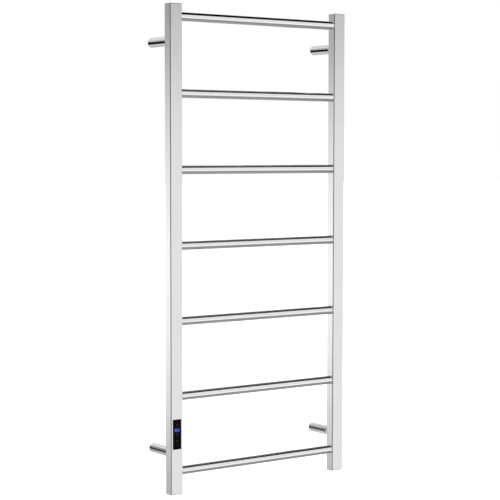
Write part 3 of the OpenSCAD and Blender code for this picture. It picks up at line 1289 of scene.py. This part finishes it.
@dataclass
class HiddenParts:
    """CAD nodes that keep their shape and get a finish."""

    finishes: dict[str, Finish] = field(
        default_factory=lambda: {
            "wall_spigot_top_left": ZINC, "wall_spigot_top_right": ZINC,
            "wall_spigot_bottom_left": ZINC, "wall_spigot_bottom_right": ZINC,
            "rivet_nuts": ZINC, "sleeve_bolts": ZINC, "grub_screws": ZINC,
            "earth_stud": ZINC, "earth_nut": ZINC, "earth_tag": TINNED_BRASS,
            "control_box": BLACK_PLASTIC, "box_lid": BLACK_PLASTIC, "power_module": BLACK_PLASTIC,
            "box_clips": SPRING_STEEL, "temperature_probe": SPRING_STEEL,
            "control_board": SOLDER_MASK, "display_module": DISPLAY_FILTER,
            "indicator_led": RED_LENS, "touch_pads": PAD_FOAM, "relay": RELAY_PLASTIC,
            "terminal_block": TERMINAL_PLASTIC, "thermal_cutout": CUTOUT_CERAMIC,
            "cable_seal": BLACK_RUBBER, "cable_end_seal": BLACK_RUBBER, "left_bushes": BLACK_RUBBER,
            "right_bushes": BLACK_RUBBER, "mains_grommet": BLACK_RUBBER, "heating_cable": SILICONE,
        }
    )

    def build(self) -> None:
        """Dresses every node that no piece stands for."""
        for name, finish in self.finishes.items():
            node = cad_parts[name]
            node.data.materials.clear()
            node.data.materials.append(PAINT.get(finish))
            LOG.info("%s: %s", name, finish.name)


# ---------------------------------------------------------------- studio


@dataclass
class Camera:
    """The viewpoint: from the room's left, a little above the rack's middle."""

    place: Place = (-2.1895, -3.0294, 0.2181)
    turn: float = 36.39
    tilt: float = -4.28
    roll: float = 0.07
    lens: float = 113.7
    shift: float = 0.039
    sensor: float = 36.0
    reach: float = 100.0

    def build(self) -> None:
        """Makes the camera and hands it to the scene."""
        data = bpy.data.cameras.new("camera")
        data.lens = self.lens
        data.sensor_width = self.sensor
        data.shift_y = self.shift
        data.clip_end = self.reach
        camera = add_object("camera", data)
        turn = Matrix.Rotation(math.radians(-self.turn), 4, "Z")
        tilt = Matrix.Rotation(math.radians(90.0 + self.tilt), 4, "X")
        roll = Matrix.Rotation(math.radians(self.roll), 4, "Z")
        camera.matrix_world = Matrix.Translation(self.place) @ turn @ tilt @ roll
        bpy.context.scene.camera = camera


@dataclass
class Sky:
    """The studio's surroundings as the metal sees them; the camera sees plain white.

    Brightness is linear. Each "at" gives the parts of a direction of length 1 between which a
    region sets in, or the middle and half width of a band.
    """

    roof: float = 0.004
    roof_at: Span = (0.60, 0.70)
    zenith: float = 0.72
    zenith_at: Span = (0.86, 0.92)
    front: float = 0.96
    front_dip: float = 0.44
    front_dip_at: Span = (0.13, 0.13)
    front_high: float = 0.15
    front_high_at: Span = (0.2, 0.5)
    right: float = 0.55
    right_at: Span = (0.70, 0.90)
    left: float = 0.05
    left_at: Span = (0.15, 0.45)
    left_slant: float = 0.35
    left_away: float = 0.62
    left_below_at: Span = (-0.18, -0.28)
    left_above_at: Span = (0.14, 0.30)
    behind_at: Span = (0.10, 0.50)
    back_dim: float = 0.30
    back_band: float = 0.90
    back_band_at: Span = (-0.075, 0.21)
    back_high: float = 0.45
    back_high_at: Span = (0.16, 0.40)
    floor: float = 0.29
    floor_at: Span = (-0.42, -0.52)
    floor_behind: float = 0.60
    floor_behind_at: Span = (0.30, 0.65)

    def build(self) -> None:
        """Makes the world."""
        world = bpy.data.worlds.new("studio")
        bpy.context.scene.world = world
        world.use_nodes = True
        graph = Graph(world.node_tree)
        seen = graph.add("ShaderNodeLightPath", {}, {}, "Is Camera Ray")
        way = graph.add("ShaderNodeTexCoord", {}, {}, "Generated")
        split = graph.add("ShaderNodeSeparateXYZ", {}, {"Vector": way})
        x, y, z = (Value(graph, s) for s in split.socket.node.outputs)
        level = self._level(x, y, z)
        brightness = seen + (1 - seen) * level
        inputs = {"Color": (*EVEN, 1.0), "Strength": brightness}
        graph.add("ShaderNodeOutputWorld", {}, {"Surface": graph.add("ShaderNodeBackground", {}, inputs)})

    def _level(self, x: Value, y: Value, z: Value) -> Value:
        """Brightness of a direction.

        Args:
            x: Its X part.
            y: Its Y part.
            z: Its Z part.

        Returns:
            The brightness.
        """
        front = self.front - self.front_dip * z.bump(*self.front_dip_at)
        front = front - self.front_high * z.step(*self.front_high_at)
        front = front + (self.right - front) * x.step(*self.right_at)
        away = z.step(*self.left_below_at) + z.step(*self.left_above_at)
        left = self.left + (self.left_away - self.left) * away
        side = front + (left - front) * (x * -1.0 - self.left_slant * y).step(*self.left_at)
        back = self.back_dim + self.back_band * z.bump(*self.back_band_at)
        back = back + self.back_high * z.step(*self.back_high_at)
        walls = side + (back - side) * y.step(*self.behind_at)
        ground = self.floor + (self.floor_behind - self.floor) * y.step(*self.floor_behind_at)
        lower = walls + (ground - walls) * z.step(*self.floor_at)
        roofed = lower + (self.roof - lower) * z.step(*self.roof_at)
        return roofed + (self.zenith - roofed) * z.step(*self.zenith_at)


@dataclass
class Card:
    """A card that only polished metal mirrors, as flags are set around chrome in a studio."""

    name: str
    low: Place
    high: Place
    brightness: float

    def build(self) -> None:
        """Makes the card; its box is flat along one axis."""
        (x0, y0, z0), (x1, y1, z1) = self.low, self.high
        if x0 == x1:
            corners = [(x0, y0, z0), (x0, y1, z0), (x0, y1, z1), (x0, y0, z1)]
        else:
            corners = [(x0, y0, z0), (x1, y0, z0), (x1, y1, z1), (x0, y1, z1)]
        card = flat_sheet(self.name, corners)
        level = self.brightness
        card.data.materials.append(
            new_material(
                self.name,
                lambda graph: {
                    "Base Color": (0.0, 0.0, 0.0, 1.0),
                    "Specular IOR Level": 0.0,
                    "Roughness": 1.0,
                    "Emission Color": (level, level, level, 1.0),
                    "Emission Strength": 1.0,
                },
            )
        )
        card.visible_camera = False
        card.visible_diffuse = False
        card.visible_shadow = False
        card.visible_transmission = False


@dataclass
class Cards:
    """The flags around the rack."""

    aside: float = 0.040
    near: float = -0.020
    far: float = 0.110
    roof_low: Place = (0.30, -0.64, 1.20)
    roof_high: Place = (4.0, 0.60, 1.20)
    roof_level: float = 0.004
    strips: dict[Level, tuple[Place, ...]] = field(
        default_factory=lambda: {
            Level.TOP: ((-0.046, 0.004, 0.004), (0.004, 0.036, 0.44)),
            Level.BOTTOM: ((-0.034, -0.011, 0.30), (-0.011, 0.012, 0.002), (0.012, 0.075, 0.30)),
        }
    )

    def build(self) -> None:
        """Sets one roof flag and small strips beside each standoff.

        Each strip's lowest and highest edge are counted from the standoff's middle, and its
        brightness comes third.
        """
        Card("roof_flag", self.roof_low, self.roof_high, self.roof_level).build()
        for level, bands in self.strips.items():
            for side in Side:
                node = f"standoff_{level.word}_{side.word}"
                x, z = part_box(node)[0].x - self.aside, middle(node).z
                for k, (low, high, brightness) in enumerate(bands):
                    corners = (x, self.near, z + low), (x, self.far, z + high)
                    Card(f"strip_{level.word}_{side.word}_{k}", *corners, brightness).build()


@dataclass
class Studio:
    """Pale floor, soft lights, surroundings and camera."""

    floor_drop: float = 0.30
    floor_half: float = 40.0
    light_size: float = 2.0
    key_place: Place = (-2.0, -2.5, 2.6)
    key_power: float = 60.0
    fill_place: Place = (2.4, -1.5, 1.8)
    fill_power: float = 35.0

    def build(self) -> None:
        """Makes the whole set."""
        Camera().build()
        Sky().build()
        Cards().build()
        self._floor()
        self._light("key_light", self.key_place, self.key_power)
        self._light("fill_light", self.fill_place, self.fill_power)
        bpy.context.scene.view_settings.view_transform = "Standard"
        bpy.context.scene.view_settings.look = "None"

    def _floor(self) -> None:
        """A pale floor below the rack."""
        z = CAD_BOX[0][2] - self.floor_drop
        h = self.floor_half
        floor = flat_sheet("floor", [(-h, -h, z), (h, -h, z), (h, h, z), (-h, h, z)])
        floor.data.materials.append(
            new_material(
                "pale_floor",
                lambda graph: {
                    "Base Color": graph.mix(graph.noise(EVEN, 1.5), shade(EVEN, 0.90), shade(EVEN, 0.93)),
                    "Roughness": 0.9,
                    "Specular IOR Level": 0.0,
                    "Emission Color": (*EVEN, 1.0),
                    "Emission Strength": 1.0,
                },
            )
        )
        floor.visible_glossy = False

    def _light(self, name: str, place: Place, power: float) -> None:
        """A large soft light aimed at the rack's middle; polished metal doesn't mirror it.

        Args:
            name: Its name.
            place: Where it hangs.
            power: Its power, in watts.
        """
        data = bpy.data.lights.new(name, "AREA")
        data.size = self.light_size
        data.energy = power
        light = add_object(name, data)
        light.location = place
        light.rotation_euler = (-Vector(place)).to_track_quat("-Z", "Y").to_euler()
        light.visible_glossy = False


def main() -> None:
    """Builds the studio and every sub-assembly in order."""
    logging.basicConfig(level=logging.INFO, format="%(message)s")
    Studio().build()
    for side in Side:
        Upright(side).build()
    Rungs().build()
    Standoffs().build()
    TouchPanel().build()
    HiddenParts().build()


if __name__ == "__main__":
    main()
